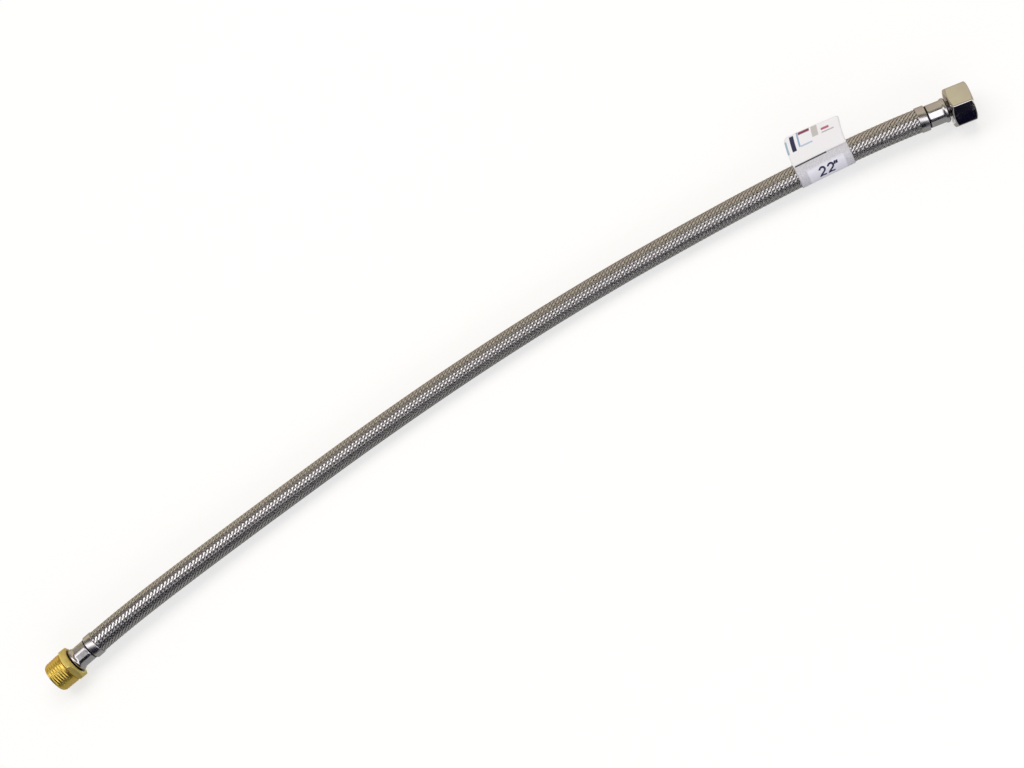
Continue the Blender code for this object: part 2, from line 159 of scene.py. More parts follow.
HEX_EDGE = 0.00010
FREE_LENGTH = OVERALL_LENGTH - NUT_REACH - MALE_REACH

# Braid, with the points of a strand's section as shares of its half width
STRANDS = 18
STRAND_PITCH = 0.0023
OUTER_WIDTH = 0.00132
OUTER_CROWN = 0.00011
INNER_WIDTH = 0.00136
INNER_CROWN = 0.00008
STRAND_BELLY = 0.00004
STRAND_SECTION = (-1.0, -0.42, 0.42, 1.0)
CROWN_REACH = 0.97
STRAND_WIRES = 6
# Level that the under strands' colours are multiplied by: painted shade on the same wire
UNDER_PAINTED_LIGHT_LEVEL = 0.55
WEAVE_RADIUS = 0.00597
WEAVE_LIFT = 0.00007
WEAVE_BIAS = 0.00002
WEAVE_HOLD = 1.0
WEAVE_TWIST = math.radians(10.0)
SAMPLES_PER_WAVE = 6
BRAID_TUCK = 0.0040
BRAID_TUCK_RADIUS = 0.00585

# Label: its sheet, and its fields of colour by left, right, low and high in U and V
LABEL_WIDTH = 0.0290
LABEL_FROM_FERRULE = 0.0362
LABEL_RADIUS = 0.00664
LABEL_THICKNESS = 0.00016
FLAG_LENGTH = 0.0146
FLAG_SKEW = 0.041
FLAG_SHEAR = 0.0019
FLAG_PLY_GAP = 0.00026
FLAG_ROOT = math.radians(70.0)
FLAG_ANGLE = math.radians(22.0)
FLAG_CURL = 0.0006
FLAG_CORNER = 0.0017
CREASE_ANGLE = math.radians(4.0)
LOOP_FIELD = (-1.0, 2.0, 0.205, 0.80)
WRITING_PANEL = (0.17, 0.86, 0.285, 0.42)
PRINT_AND_CREASE_SHADE_FIELDS = (
    ((0.00, 0.035, 0.03, 0.12), (0.35, 0.48, 0.58)),
    # Painted shade along the crease at the flag's root, in the next two fields: near black on its
    # first stretch, fainter and purple-grey on the rest
    ((0.03, 0.62, 0.208, 0.221), (0.010, 0.010, 0.020)),
    ((0.62, 0.92, 0.214, 0.217), (0.25, 0.22, 0.32)),
    ((0.095, 0.172, 0.010, 0.115), (0.008, 0.008, 0.05)),
    ((0.225, 0.255, 0.0, 0.10), (0.30, 0.42, 0.60)),
    ((0.26, 0.46, 0.004, 0.022), (0.22, 0.03, 0.08)),
    ((0.255, 0.47, 0.095, 0.105), (0.42, 0.52, 0.68)),
    ((0.49, 0.60, 0.004, 0.075), (0.55, 0.52, 0.50)),
    ((0.66, 0.80, 0.040, 0.056), (0.45, 0.10, 0.16)),
    ((0.66, 0.88, 0.068, 0.076), (0.45, 0.36, 0.42)),
)

# Handwritten length on the label: its digits' height, width, step and pen
MARK_HEIGHT = 0.0049
MARK_WIDTH = 0.0032
MARK_STEP = 0.0046
MARK_START = -0.0044
MARK_ANGLE = math.radians(151.0)
MARK_SLANT = 0.18
TICK_GAP = 0.0011
PEN_WIDTH = 0.0010
PEN_LIFT = 0.00005
INK_THICKNESS = 0.00003

# Painted shade in rings round the rear holes, by the radii where it starts to fade and
# where it ends, and the stretch past the collar in which olive turns to gold
NUT_SHADE = (0.0072, 0.0084)
COLLAR_SHADE = (0.0068, 0.0076)
GOLD_START = (-0.0002, 0.0006)

# Studio, with the tent's colour at each angle in degrees from level on the outer side
FLOOR_SIZE = 14.0
FLOOR_GLOW = 0.61
SKY_LIGHT = 0.50
SKY_SEEN = 0.90
CARD_HEIGHT = 0.0004
CARD_OVERHANG = 0.35
TENT_RADIUS = 1.6
TENT_LEVEL = 1.9
TENT_SLANT = 0.9
TENT_BANDS = (
    (0.0, (0.56, 0.48, 0.41)),
    (30.0, (0.60, 0.53, 0.44)),
    (54.0, (0.70, 0.65, 0.46)),
    (64.0, (0.13, 0.11, 0.10)),
    (88.0, (0.09, 0.08, 0.09)),
    (100.0, (0.5, 0.48, 0.5)),
    (106.0, (1.8, 1.74, 1.84)),
    (128.0, (1.8, 1.74, 1.84)),
    (135.0, (0.5, 0.5, 0.54)),
    (146.0, (0.13, 0.13, 0.15)),
    (160.0, (0.02, 0.02, 0.035)),
    (180.0, (0.006, 0.006, 0.015)),
)

# Camera, turned about the vertical and about its own axis
CAMERA_AIM = (0.0064022, -0.0032313, 0.0002109)
CAMERA_AZIMUTH = math.radians(9.0)
CAMERA_ELEVATION = math.radians(62.0)
CAMERA_ROLL = math.radians(-40.2205)
CAMERA_DISTANCE = 0.88
CAMERA_LENS = 59.76

# Fineness of the surfaces, and the step that keeps neighbouring rows apart
AROUND = 180
ROWS_PER_PITCH = 24
FILLET_STEPS = 4
ROUTE_POINTS = 801
CORD_POINTS = 60
FLAG_ROWS = 26
LOOP_ROWS = 72
LABEL_COLUMNS = 31
TENT_ROWS = 25
TENT_COLUMNS = 61
SHARP_ANGLE = math.radians(38.0)
ROW_STEP = 0.0001


def smooth_step(share):
    """Rise from 0 to 1 that starts and ends level."""
    return share * share * (3.0 - 2.0 * share)


def smooth_slope(share):
    """Slope of that rise, which is 0 at both ends."""
    return 6.0 * share * (1.0 - share)


def running_sum(rate, along):
    """Running total of a rate along the line, by the trapezium rule."""
    pieces = (rate[1:] + rate[:-1]) / 2.0 * np.diff(along)
    return np.concatenate(([0.0], np.cumsum(pieces)))


class Route:
    """Centre line of the hose between its ferrules, repeated from the part.

    The heading falls off by BEND_ANGLE as the power BEND_GROWTH of the way along, and
    turns a little further beside each fitting. The height settles from each fitting's
    axis to the braid's own radius. The line is laid so that the nut's middle falls on
    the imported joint's place.
    """

    def __init__(self, nut_middle):
        way = np.linspace(0.0, 1.0, ROUTE_POINTS)
        self.along = way * FREE_LENGTH
        from_start = np.clip(self.along / SETTLE_LENGTH, 0.0, 1.0)
        from_end = np.clip((FREE_LENGTH - self.along) / SETTLE_LENGTH, 0.0, 1.0)
        lift_start = COLLAR_ACROSS_FLATS / 2.0 - BRAID_RADIUS
        lift_end = NUT_ACROSS_FLATS / 2.0 - BRAID_RADIUS
        self.height = (
            BRAID_RADIUS
            + lift_start * (1.0 - smooth_step(from_start))
            + lift_end * (1.0 - smooth_step(from_end))
        )
        self.climb = (
            lift_end * smooth_slope(from_end) - lift_start * smooth_slope(from_start)
        ) / SETTLE_LENGTH
        near_start = np.clip(1.0 - self.along / END_BEND_LENGTH, 0.0, 1.0)
        near_end = np.clip(1.0 - (FREE_LENGTH - self.along) / END_BEND_LENGTH, 0.0, 1.0)
        heading = (
            -BEND_ANGLE * way**BEND_GROWTH
            + MALE_END_BEND * near_start**2
            - NUT_END_BEND * near_end**2
        )
        level = np.sqrt(1.0 - self.climb**2)
        east = running_sum(level * np.cos(heading), self.along)
        north = running_sum(level * np.sin(heading), self.along)
        chord_x = (
            east[-1] + MALE_REACH * math.cos(heading[0]) + NUT_REACH * math.cos(heading[-1])
        )
        chord_y = (
            north[-1] + MALE_REACH * math.sin(heading[0]) + NUT_REACH * math.sin(heading[-1])
        )
        turn = -math.atan2(chord_y, chord_x)
        self.heading = heading + turn
        self.x = east * math.cos(turn) - north * math.sin(turn)
        self.y = east * math.sin(turn) + north * math.cos(turn)
        reach = NUT_START + NUT_LENGTH / 2.0
        self.x += nut_middle[0] - self.x[-1] - reach * math.cos(self.heading[-1])
        self.y += nut_middle[1] - self.y[-1] - reach * math.sin(self.heading[-1])

    def frames(self, along):
        """Centre, forward, side and up at places along the hose, straight on past its ends."""
        inside = np.clip(along, 0.0, FREE_LENGTH)
        beyond = along - inside
        heading = np.interp(inside, self.along, self.heading)
        climb = np.interp(inside, self.along, self.climb)
        level = np.sqrt(1.0 - climb**2)
        forward = np.stack((np.cos(heading) * level, np.sin(heading) * level, climb), axis=-1)
        side = np.stack((-np.sin(heading), np.cos(heading), np.zeros_like(heading)), axis=-1)
        lines = self.x, self.y, self.height
        centre = np.stack([np.interp(inside, self.along, line) for line in lines], axis=-1)
        return centre + beyond[..., None] * forward, forward, side, np.cross(forward, side)

    def place(self, along, angle, radius):
        """Points at a distance along the hose, an angle from level and a radius."""
        centre, _, side, up = self.frames(along)
        across = np.cos(angle)[..., None] * side + np.sin(angle)[..., None] * up
        return centre + radius[..., None] * across


class EndFrame:
    """Frame of a fitting: reach runs out of the hose, angle runs from level to up."""

    def __init__(self, route, along, outward):
        centre, forward, _, _ = route.frames(np.array([along]))
        self.origin = centre[0]
        self.axis = forward[0] * outward
        self.side = np.cross((0.0, 0.0, 1.0), self.axis)
        self.up = np.cross(self.axis, self.side)

    def place(self, reach, angle, radius):
        """Points at a reach, an angle and a radius."""
        across = np.cos(angle)[..., None] * self.side + np.sin(angle)[..., None] * self.up
        return self.origin + reach[..., None] * self.axis + radius[..., None] * across


def mesh_object(name, points, faces, point_uvs=None):
    """Object from an array of points, one of quads and one of each point's U and V."""
    mesh = bpy.data.meshes.new(name)
    mesh.vertices.add(len(points))
    mesh.vertices.foreach_set("co", points.astype(np.float32).ravel())
    mesh.loops.add(faces.size)
    mesh.loops.foreach_set("vertex_index", faces.astype(np.int32).ravel())
    mesh.polygons.add(len(faces))
    starts = np.arange(len(faces), dtype=np.int32) * faces.shape[1]
    mesh.polygons.foreach_set("loop_start", starts)
    mesh.update(calc_edges=True)
    if point_uvs is not None:
        layer = mesh.uv_layers.new(name="UVMap")
        layer.data.foreach_set("uv", point_uvs[faces.ravel()].astype(np.float32).ravel())
    mesh.polygons.foreach_set("use_smooth", np.ones(len(faces), dtype=bool))
    mesh.validate()
    item = bpy.data.objects.new(name, mesh)
    bpy.context.scene.collection.objects.link(item)
    return item


def grid_faces(rows, columns, wrap_rows=False, wrap_columns=False):
    """Quads between neighbours of a grid whose rows or columns may close on themselves."""
    row = np.arange(rows if wrap_rows else rows - 1)
    column = np.arange(columns if wrap_columns else columns - 1)
    row, column = np.meshgrid(row, column, indexing="ij")
    next_row = (row + 1) % rows
    next_column = (column + 1) % columns
    corners = (
        row * columns + column,
        row * columns + next_column,
        next_row * columns + next_column,
        next_row * columns + column,
    )
    return np.stack(corners, axis=-1).reshape(-1, 4)


def rounded(corners):
    """Outline through (radius, reach) corners, where a third value is a fillet's radius.

    A fillet's arc touches both edges at fillet / tan(half the corner's angle) from it.
    """
    outline = []
    count = len(corners)
    for index, corner in enumerate(corners):
        here = np.array(corner[:2])
        if len(corner) == 2:
            outline.append(here)
            continue
        back = np.array(corners[index - 1][:2]) - here
        ahead = np.array(corners[(index + 1) % count][:2]) - here
        back /= np.linalg.norm(back)
        ahead /= np.linalg.norm(ahead)
        half = math.acos(np.clip(back @ ahead, -1.0, 1.0)) / 2.0
        middle = (back + ahead) / np.linalg.norm(back + ahead)
        centre = here + middle * corner[2] / math.sin(half)
        start = here + back * corner[2] / math.tan(half) - centre
        end = here + ahead * corner[2] / math.tan(half) - centre
        for step in range(FILLET_STEPS + 1):
            swept = start + (end - start) * step / FILLET_STEPS
            outline.append(centre + swept / np.linalg.norm(swept) * corner[2])
    return np.array(outline)


def even_angles():
    """Angles all the way round a turned piece."""
    return np.linspace(0.0, 2.0 * math.pi, AROUND, endpoint=False)


def ring_rows(outline, angles):
    """Radius and reach of rows that are the same all the way round, from an outline."""
    outline = np.array(outline)
    return tuple(np.repeat(outline[:, [part]], len(angles), axis=1) for part in (0, 1))


def hexagon_radius(angles, flat):
    """Distance to the side of a hexagon with rounded corners at 0, 60 ... degrees.

    Near a corner it is the far crossing of a ray with the corner's arc, and elsewhere
    flat / cos(angle from the flat's middle).
    """
    from_corner = np.abs((angles + math.pi / 6.0) % (math.pi / 3.0) - math.pi / 6.0)
    straight = flat / np.cos(math.pi / 6.0 - from_corner)
    centre = (flat - HEX_CORNER_ROUND) / math.cos(math.pi / 6.0)
    inside = HEX_CORNER_ROUND**2 - (centre * np.sin(from_corner)) ** 2
    arc = centre * np.cos(from_corner) + np.sqrt(np.maximum(inside, 0.0))
    touch = math.atan2(
        HEX_CORNER_ROUND * math.sin(math.pi / 6.0),
        centre + HEX_CORNER_ROUND * math.cos(math.pi / 6.0),
    )
    return np.where(from_corner < touch, arc, straight)


def hexagon_angles():
    """Angles round a hexagon, close together at its corners.

    Each corner's sector runs as 0.35 of its share plus 0.65 of the share's cube.
    """
    share = np.linspace(-1.0, 1.0, AROUND // 6, endpoint=False)
    sector = (0.35 * share + 0.65 * share**3) * math.pi / 6.0
    return (sector[None, :] + np.arange(6)[:, None] * math.pi / 3.0).ravel()


def hexagon_rows(angles, across_flats, start, end):
    """Rows of a hexagon chamfered at both ends, from its front face to its rear.

    The chamfer's cone meets each flat in a curve, and the rows follow that curve, with
    a narrow bevel along it.
    """
    side = hexagon_radius(angles, across_flats / 2.0)
    face = across_flats / 2.0 - HEX_FACE_INSET
    drop = (side - face) * math.tan(HEX_CHAMFER_ANGLE)
    out = HEX_EDGE * math.cos(HEX_CHAMFER_ANGLE)
    down = HEX_EDGE * math.sin(HEX_CHAMFER_ANGLE)
    even = np.ones_like(side)
    radius = [
        (face - HEX_EDGE) * even,
        (face + out * 0.5) * even,
        side - out,
        side - HEX_EDGE * 0.12,
        side,
    ]
    depth = [
        0.0 * even,
        down * 0.5 * even,
        drop - down,
        drop + HEX_EDGE * 0.35,
        drop + HEX_EDGE,
    ]
    radius = np.array(radius + radius[::-1])
    reach = np.array([end - value for value in depth] + [start + value for value in depth[::-1]])
    return radius, reach


def thread_wave(phase):
    """Share of the thread's depth at a phase: flat crest at 0, flat root at a half."""
    ramp = np.abs(2.0 * (phase % 1.0) - 1.0)
    flank = (1.0 - ramp) * (1.0 + 2.0 * THREAD_FLAT) - THREAD_FLAT
    return smooth_step(np.clip(flank, 0.0, 1.0))


def thread_rows(first, last, rows, pitch, angles):
    """Reach of each row and the helix's phase there: reach / pitch less the share of a turn."""
    reach = np.repeat(np.linspace(first, last, rows)[:, None], len(angles), axis=1)
    return reach, reach / pitch - angles[None, :] / (2.0 * math.pi)


def turned_object(name, frame, angles, radius, reach):
    """Closed body of revolution from rows of radii and reaches that come back to the start."""
    points = frame.place(reach, np.broadcast_to(angles, radius.shape), radius)
    faces = grid_faces(radius.shape[0], len(angles), True, True)
    item = mesh_object(name, points.reshape(-1, 3), faces[:, ::-1])
    item.data.set_sharp_from_angle(angle=SHARP_ANGLE)
    return item


def joined_object(name, frame, angles, *blocks):
    """Closed body from outlines and from (radius, reach) pairs of rows, joined in order."""
    blocks = [block if isinstance(block, tuple) else ring_rows(block, angles) for block in blocks]
    radius = np.concatenate([block[0] for block in blocks])
    reach = np.concatenate([block[1] for block in blocks])
    return turned_object(name, frame, angles, radius, reach)


def shader_material(name, colour, metallic, roughness):
    """New material and its tree, Principled shader included."""
    material = bpy.data.materials.new(name)
    material.use_nodes = True
    tree = material.node_tree
    shader = tree.nodes["Principled BSDF"]
    shader.inputs["Base Color"].default_value = (*colour, 1.0)
    shader.inputs["Metallic"].default_value = metallic
    shader.inputs["Roughness"].default_value = roughness
    return material, tree, shader


def math_node(tree, operation, first, second=None, third=None):
    """Math node on sockets or numbers, whose result is returned."""
    node = tree.nodes.new("ShaderNodeMath")
    node.operation = operation
    for index, value in enumerate((first, second, third)):
        if value is None:
            continue
        if isinstance(value, (int, float)):
            node.inputs[index].default_value = value
        else:
            tree.links.new(value, node.inputs[index])
    return node.outputs[0]


def mix_colour(tree, share, first, second):
    """Colour between two, each a socket or a colour, by a socket's share."""
    node = tree.nodes.new("ShaderNodeMix")
    node.data_type = "RGBA"
    for index, value in ((0, share), (6, first), (7, second)):
        socket = node.inputs[index]
        if isinstance(value, bpy.types.NodeSocket):
            tree.links.new(value, socket)
        else:
            socket.default_value = (*value, 1.0)
    return node.outputs[2]


def noise_node(tree, scale, detail):
    """Soft noise between 0 and 1 over the piece's own place."""
    node = tree.nodes.new("ShaderNodeTexNoise")
    node.inputs["Scale"].default_value = scale
    node.inputs["Detail"].default_value = detail
    tree.links.new(object_place(tree), node.inputs["Vector"])
    return node.outputs["Fac"]


def object_place(tree):
    """Place in the piece's own metres."""
    return tree.nodes.new("ShaderNodeTexCoord").outputs["Object"]


def uv_parts(tree):
    """The piece's own U and V."""
    uv = tree.nodes.new("ShaderNodeTexCoord").outputs["UV"]
    split = tree.nodes.new("ShaderNodeSeparateXYZ")
    tree.links.new(uv, split.inputs[0])
    return split.outputs[0], split.outputs[1]


def add_bump(tree, shader, height, distance, strength):
    """Bump of a height map on a shader's normal."""
    bump = tree.nodes.new("ShaderNodeBump")
    bump.inputs["Distance"].default_value = distance
    bump.inputs["Strength"].default_value = strength
    tree.links.new(height, bump.inputs["Height"])
    tree.links.new(bump.outputs[0], shader.inputs["Normal"])


def span_node(tree, value, low, high, to_low, to_high):
    """Value moved from one span to another and held inside it."""
    node = tree.nodes.new("ShaderNodeMapRange")
    tree.links.new(value, node.inputs[0])
    for index, number in enumerate((low, high, to_low, to_high)):
        node.inputs[index + 1].default_value = number
    return node.outputs[0]


def add_cloud(tree, shader, noise, colours, roughness):
    """Colour and roughness that drift with a noise, each between its two values."""
    cloud = noise_node(tree, *noise)
    colour = mix_colour(tree, cloud, *colours)
    tree.links.new(colour, shader.inputs["Base Color"])
    tree.links.new(span_node(tree, cloud, 0.3, 0.7, *roughness), shader.inputs["Roughness"])
    return cloud, colour


def add_shade(tree, shader, share, colour, dark):
    """Painted shade: colour that turns dark where the share is 1."""
    tree.links.new(mix_colour(tree, share, colour, dark), shader.inputs["Base Color"])


def reach_node(tree, frame):
    """Distance out of the hose along a fitting's axis."""
    dot = tree.nodes.new("ShaderNodeVectorMath")
    dot.operation = "DOT_PRODUCT"
    tree.links.new(object_place(tree), dot.inputs[0])
    dot.inputs[1].default_value = tuple(frame.axis)
    return math_node(tree, "SUBTRACT", dot.outputs["Value"], float(frame.origin @ frame.axis))


def radius_node(tree, frame):
    """Distance from a fitting's axis: the root of (way from its start squared - reach squared)."""
    way = tree.nodes.new("ShaderNodeVectorMath")
    way.operation = "DISTANCE"
    tree.links.new(object_place(tree), way.inputs[0])
    way.inputs[1].default_value = tuple(frame.origin)
    way_squared = math_node(tree, "POWER", way.outputs["Value"], 2.0)
    reach = math_node(tree, "ABSOLUTE", reach_node(tree, frame))
    left = math_node(tree, "SUBTRACT", way_squared, math_node(tree, "POWER", reach, 2.0))
    return math_node(tree, "SQRT", math_node(tree, "MAXIMUM", left, 0.0))


def rear_shade_ring(tree, frame, face, radii):
    """Mask of painted shade: 1 on a fitting's rear face inside the first radius, 0 past the second.
    """
    reach = reach_node(tree, frame)
    behind = span_node(tree, reach, face + ROW_STEP, face + 3.0 * ROW_STEP, 1.0, 0.0)
    inside = span_node(tree, radius_node(tree, frame), *radii, 1.0, 0.0)
    return math_node(tree, "MULTIPLY", behind, inside)


def wire_material(name, painted_light_level):
    """Strand of parallel bright wires: U runs across the strand and V along it.

    The wires spread a reflection across the strand, so it is drawn out along U, and each
    wire has its own faint ridge. The valleys between the wires and the strand's edges are
    darkened as painted shade. All its colours are multiplied by painted_light_level, which
    is below 1 for the under strands: painted shade on the same wire.
    """
    material, tree, shader = shader_material(name, (0.62, 0.60, 0.57), 1.0, 0.33)
    shader.inputs["Anisotropic"].default_value = 0.9
    tangent = tree.nodes.new("ShaderNodeTangent")
    tangent.direction_type = "UV_MAP"
    tangent.uv_map = "UVMap"
    tree.links.new(tangent.outputs[0], shader.inputs["Tangent"])
    across, _ = uv_parts(tree)
    wire = math_node(tree, "FRACT", math_node(tree, "MULTIPLY", across, float(STRAND_WIRES)))
    off_middle = math_node(tree, "MULTIPLY_ADD", wire, 2.0, -1.0)
    bulge = math_node(
        tree, "SQRT", math_node(tree, "SUBTRACT", 1.0, math_node(tree, "POWER", off_middle, 2.0))
    )
    add_bump(tree, shader, bulge, 0.00004, 0.35)
    # The valleys between the wires are darker: painted shade.
    valley_shade = (0.46 * painted_light_level, 0.45 * painted_light_level, 0.43 * painted_light_level)
    dull = (0.68 * painted_light_level, 0.66 * painted_light_level, 0.63 * painted_light_level)
    clean = (0.84 * painted_light_level, 0.82 * painted_light_level, 0.79 * painted_light_level)
    _, bright = add_cloud(tree, shader, (900.0, 2.0), (dull, clean), (0.22, 0.32))
    colour = mix_colour(tree, span_node(tree, bulge, 0.0, 0.6, 0.0, 1.0), valley_shade, bright)
    # Painted shade: the strand's edges turn nearly black where it meets its neighbours.
    edge = math_node(tree, "ABSOLUTE", math_node(tree, "MULTIPLY_ADD", across, 2.0, -1.0))
    shade = span_node(tree, edge, 0.80, 1.0, 0.0, 0.85)
    add_shade(tree, shader, shade, colour, (0.05, 0.05, 0.05))
    return material


def pressed_steel_material(name, frame):
    """Bright pressed sheet, slightly uneven, with painted shade in the groove behind its rear band.
    """
    material, tree, shader = shader_material(name, (0.66, 0.64, 0.61), 1.0, 0.16)
    sheet = (0.64, 0.62, 0.60), (0.76, 0.74, 0.71)
    _, bright = add_cloud(tree, shader, (350.0, 3.0), sheet, (0.20, 0.32))
    add_bump(tree, shader, noise_node(tree, 500.0, 3.0), 0.00002, 0.3)
    # Painted shade: the groove behind the rear band is drawn nearly black.
    past_groove = math_node(tree, "SUBTRACT", reach_node(tree, frame), GROOVE_MIDDLE)
    off = math_node(tree, "ABSOLUTE", past_groove)
    groove = span_node(tree, off, GROOVE_LENGTH * 0.35, GROOVE_LENGTH * 0.8, 1.0, 0.0)
    add_shade(tree, shader, groove, bright, (0.02, 0.02, 0.03))
    return material


def nickel_material(frame):
    """Smooth nickel plate over brass, a little warm, with painted shade round its rear hole."""
    material, tree, shader = shader_material("nut_plating", (0.70, 0.67, 0.60), 1.0, 0.12)
    nickel = (0.70, 0.67, 0.60), (0.80, 0.77, 0.70)
    _, plate = add_cloud(tree, shader, (260.0, 4.0), nickel, (0.06, 0.12))
    add_bump(tree, shader, noise_node(tree, 1500.0, 3.0), 0.000004, 0.3)
    # Painted shade: a near-black ring on the rear face, round the hole.
    ring = rear_shade_ring(tree, frame, NUT_START, NUT_SHADE)
    add_shade(tree, shader, ring, plate, (0.03, 0.03, 0.03))
    return material


def brass_material(frame):
    """Turned brass: a bright gold thread, and an olive collar with painted shade round its neck."""
    material, tree, shader = shader_material("fitting_brass", (0.80, 0.56, 0.16), 1.0, 0.2)
    past = math_node(tree, "SUBTRACT", reach_node(tree, frame), COLLAR_START + COLLAR_LENGTH)
    thread = span_node(tree, past, *GOLD_START, 0.0, 1.0)
    cloud = noise_node(tree, 220.0, 3.0)
    gold = mix_colour(tree, cloud, (0.97, 0.64, 0.09), (1.0, 0.77, 0.19))
    olive = mix_colour(tree, cloud, (0.84, 0.66, 0.17), (0.95, 0.78, 0.25))
    # Painted shade: the collar's rear face goes dark round the neck, beside the ferrule's bead.
    neck = rear_shade_ring(tree, frame, COLLAR_START, COLLAR_SHADE)
    brass = mix_colour(tree, thread, olive, gold)
    add_shade(tree, shader, neck, brass, (0.03, 0.022, 0.012))
    least = span_node(tree, thread, 0.0, 1.0, 0.34, 0.28)
    rough = math_node(tree, "MULTIPLY_ADD", cloud, 0.12, least)
    tree.links.new(rough, shader.inputs["Roughness"])
    tree.links.new(span_node(tree, thread, 0.0, 1.0, 0.75, 1.0), shader.inputs["Metallic"])
    add_bump(tree, shader, noise_node(tree, 1800.0, 3.0), 0.000005, 0.3)
    return material


def dark_tail_material():
    """Swivel tail: dark metal."""
    material, tree, shader = shader_material("tail_plate", (0.20, 0.19, 0.18), 1.0, 0.3)
    plate = (0.16, 0.15, 0.15), (0.26, 0.24, 0.22)
    add_cloud(tree, shader, (400.0, 3.0), plate, (0.22, 0.38))
    return material


def rubber_material(name, shade):
    """Matt rubber with a fine grain, between 0.7 and 1.4 times its shade."""
    material, tree, shader = shader_material(name, (shade, shade, shade), 0.0, 0.6)
    shades = (shade * 0.7,) * 3, (shade * 1.4,) * 3
    grain, _ = add_cloud(tree, shader, (1200.0, 4.0), shades, (0.5, 0.75))
    add_bump(tree, shader, grain, 0.00004, 0.5)
    return material


def field_mask(tree, across, along, field, soft):
    """1 inside a field's left, right, low and high in U and V, and 0 outside, with a soft edge."""
    left, right, low, high = field
    sides = [
        span_node(tree, across, left - soft, left + soft, 0.0, 1.0),
        span_node(tree, across, right - soft, right + soft, 1.0, 0.0),
        span_node(tree, along, low - soft, low + soft, 0.0, 1.0),
        span_node(tree, along, high - soft, high + soft, 1.0, 0.0),
    ]
    first = math_node(tree, "MULTIPLY", sides[0], sides[1])
    second = math_node(tree, "MULTIPLY", sides[2], sides[3])
    return math_node(tree, "MULTIPLY", first, second)


def braid(name, hand, width, crown_height, route):
    """All strands that wind one way, as closed flattened tubes in one mesh.

    Strand k at a distance s has the angle hand * 2 pi s / lead + 2 pi k / STRANDS. Its
    radius swings by WEAVE_LIFT as a squared-off sine of STRANDS times that angle, less
    a slow twist along the hose, so each strand passes over one strand and under the
    next. The left hand lies further out by WEAVE_BIAS and the right hand further in.
    U runs across each strand and V along it.
    """
    lead = STRANDS * STRAND_PITCH
    lean = math.atan(2.0 * math.pi * WEAVE_RADIUS / lead)
    length = FREE_LENGTH + 2.0 * BRAID_TUCK
    samples = int(round(length / STRAND_PITCH * SAMPLES_PER_WAVE)) + 1
    along = np.linspace(-BRAID_TUCK, FREE_LENGTH + BRAID_TUCK, samples)
    start = np.arange(STRANDS) * 2.0 * math.pi / STRANDS
    angle = start[:, None] + hand * 2.0 * math.pi * along[None, :] / lead
    column = STRANDS * (angle - WEAVE_TWIST * along[None, :] / FREE_LENGTH)
    swing = np.tanh(WEAVE_HOLD * np.sin(column)) / math.tanh(WEAVE_HOLD)
    across = np.array(STRAND_SECTION)
    crown = crown_height * np.sqrt(1.0 - (across * CROWN_REACH) ** 2) - STRAND_BELLY * across**2
    offset = across * width / 2.0
    free = np.clip(np.minimum(along, FREE_LENGTH - along) / BRAID_TUCK + 1.0, 0.0, 1.0)
    squeeze = BRAID_TUCK_RADIUS / BRAID_RADIUS
    scale = squeeze + (1.0 - squeeze) * smooth_step(free)
    place = along[None, :, None] - hand * offset * math.sin(lean)
    turn = angle[:, :, None] + offset * math.cos(lean) / WEAVE_RADIUS
    lift = hand * (WEAVE_LIFT * swing[:, :, None] - WEAVE_BIAS)
    radius = (WEAVE_RADIUS + lift + crown) * scale[None, :, None]
    points = route.place(np.broadcast_to(place, radius.shape), turn, radius)
    tube = grid_faces(samples, len(across), False, True)
    last = (samples - 1) * len(across)
    cap = np.arange(len(across))[None, :]
    strand = np.concatenate((tube, cap[:, ::-1], cap + last))
    strip = np.concatenate([strand + k * samples * len(across) for k in range(STRANDS)])
    if hand < 0:
        strip = strip[:, ::-1]
    share = (across + 1.0) / 2.0
    grid_u = np.broadcast_to(share, (STRANDS, samples, len(across))).reshape(-1)
    grid_v = np.broadcast_to((along / length)[None, :, None], radius.shape).reshape(-1)
    return mesh_object(name, points.reshape(-1, 3), strip, np.stack((grid_u, grid_v), axis=1))


